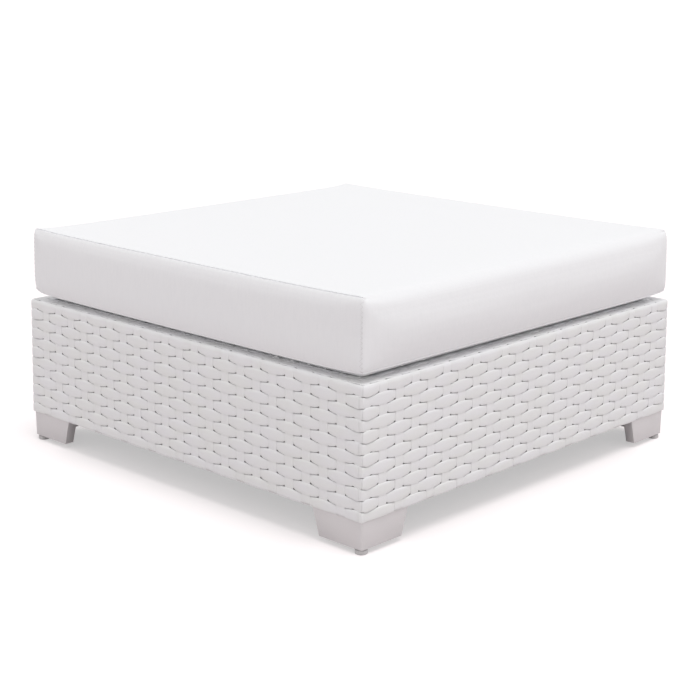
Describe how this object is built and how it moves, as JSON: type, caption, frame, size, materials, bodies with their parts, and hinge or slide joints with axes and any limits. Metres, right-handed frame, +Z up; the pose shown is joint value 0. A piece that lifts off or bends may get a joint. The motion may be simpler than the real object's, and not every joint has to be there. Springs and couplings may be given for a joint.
{
  "type": "outdoor ottoman footstool",
  "caption": "Square woven outdoor ottoman on tapered corner feet with levelling glides, with a thick zipped box cushion that lifts off its metal-framed base.",
  "frame": {"origin": "on the floor, under the middle of the ottoman, at the level of the glide undersides", "axes": "+Z up; the sides face +X, -X, +Y and -Y; the cushion's zip is on the +Y side; the corner nearest the picture's viewer is the one at -X, -Y"},
  "size_m": [0.9, 0.9031, 0.4311],
  "materials": {
    "wicker": "satin",
    "frame_metal": "satin",
    "foot_metal": "satin",
    "steel": "satin",
    "pad_plastic": "matte",
    "cushion_cloth": "matte",
    "foam": "matte",
    "zip_plastic": "satin"
  },
  "bodies": {
    "base": {"woven_front": "wicker", "woven_right": "wicker", "woven_back": "wicker", "woven_left": "wicker", "woven_deck": "wicker", "top_rail_front": "frame_metal", "bottom_rail_front": "frame_metal", "middle_post_front": "frame_metal", "top_rail_right": "frame_metal", "bottom_rail_right": "frame_metal", "middle_post_right": "frame_metal", "top_rail_back": "frame_metal", "bottom_rail_back": "frame_metal", "middle_post_back": "frame_metal", "top_rail_left": "frame_metal", "bottom_rail_left": "frame_metal", "middle_post_left": "frame_metal", "corner_post_front_left": "frame_metal", "gusset_front_left": "frame_metal", "corner_post_front_right": "frame_metal", "gusset_front_right": "frame_metal", "corner_post_back_right": "frame_metal", "gusset_back_right": "frame_metal", "corner_post_back_left": "frame_metal", "gusset_back_left": "frame_metal", "deck_slat_1": "frame_metal", "deck_slat_2": "frame_metal", "deck_slat_3": "frame_metal", "deck_slat_4": "frame_metal", "deck_slat_5": "frame_metal", "foot_front_left": "foot_metal", "glide_insert_front_left": "steel", "foot_screw_front_left_1": "steel", "foot_screw_front_left_2": "steel", "foot_front_right": "foot_metal", "glide_insert_front_right": "steel", "foot_screw_front_right_1": "steel", "foot_screw_front_right_2": "steel", "foot_back_right": "foot_metal", "glide_insert_back_right": "steel", "foot_screw_back_right_1": "steel", "foot_screw_back_right_2": "steel", "foot_back_left": "foot_metal", "glide_insert_back_left": "steel", "foot_screw_back_left_1": "steel", "foot_screw_back_left_2": "steel"},
    "glide_front_left": {"glide_stud_front_left": "steel", "glide_pad_front_left": "pad_plastic"},
    "glide_front_right": {"glide_stud_front_right": "steel", "glide_pad_front_right": "pad_plastic"},
    "glide_back_right": {"glide_stud_back_right": "steel", "glide_pad_back_right": "pad_plastic"},
    "glide_back_left": {"glide_stud_back_left": "steel", "glide_pad_back_left": "pad_plastic"},
    "cushion": {"cushion_cover": "cushion_cloth", "cushion_core": "foam", "zip_tape": "zip_plastic"},
    "zip_slider": {"zip_slider": "zip_plastic"},
    "zip_pull": {"zip_pull": "zip_plastic"}
  },
  "joints": [
    {"name": "glide_front_left_adjust", "type": "slide", "parent": "base", "child": "glide_front_left", "axis": [0, 0, -1], "range_m": [0, 0.008]},
    {"name": "glide_front_right_adjust", "type": "slide", "parent": "base", "child": "glide_front_right", "axis": [0, 0, -1], "range_m": [0, 0.008]},
    {"name": "glide_back_right_adjust", "type": "slide", "parent": "base", "child": "glide_back_right", "axis": [0, 0, -1], "range_m": [0, 0.008]},
    {"name": "glide_back_left_adjust", "type": "slide", "parent": "base", "child": "glide_back_left", "axis": [0, 0, -1], "range_m": [0, 0.008]},
    {"name": "cushion_lift", "type": "slide", "parent": "base", "child": "cushion", "axis": [0, 0, 1], "range_m": [0, 0.25]},
    {"name": "zip_run", "type": "slide", "parent": "cushion", "child": "zip_slider", "axis": [-1, 0, 0], "range_m": [0, 0.595]},
    {"name": "zip_pull_swing", "type": "hinge", "parent": "zip_slider", "child": "zip_pull", "pos_m": [0.2975, 0.44975, 0.3541], "axis": [1, 0, 0], "range_deg": [0, 150]}
  ]
}
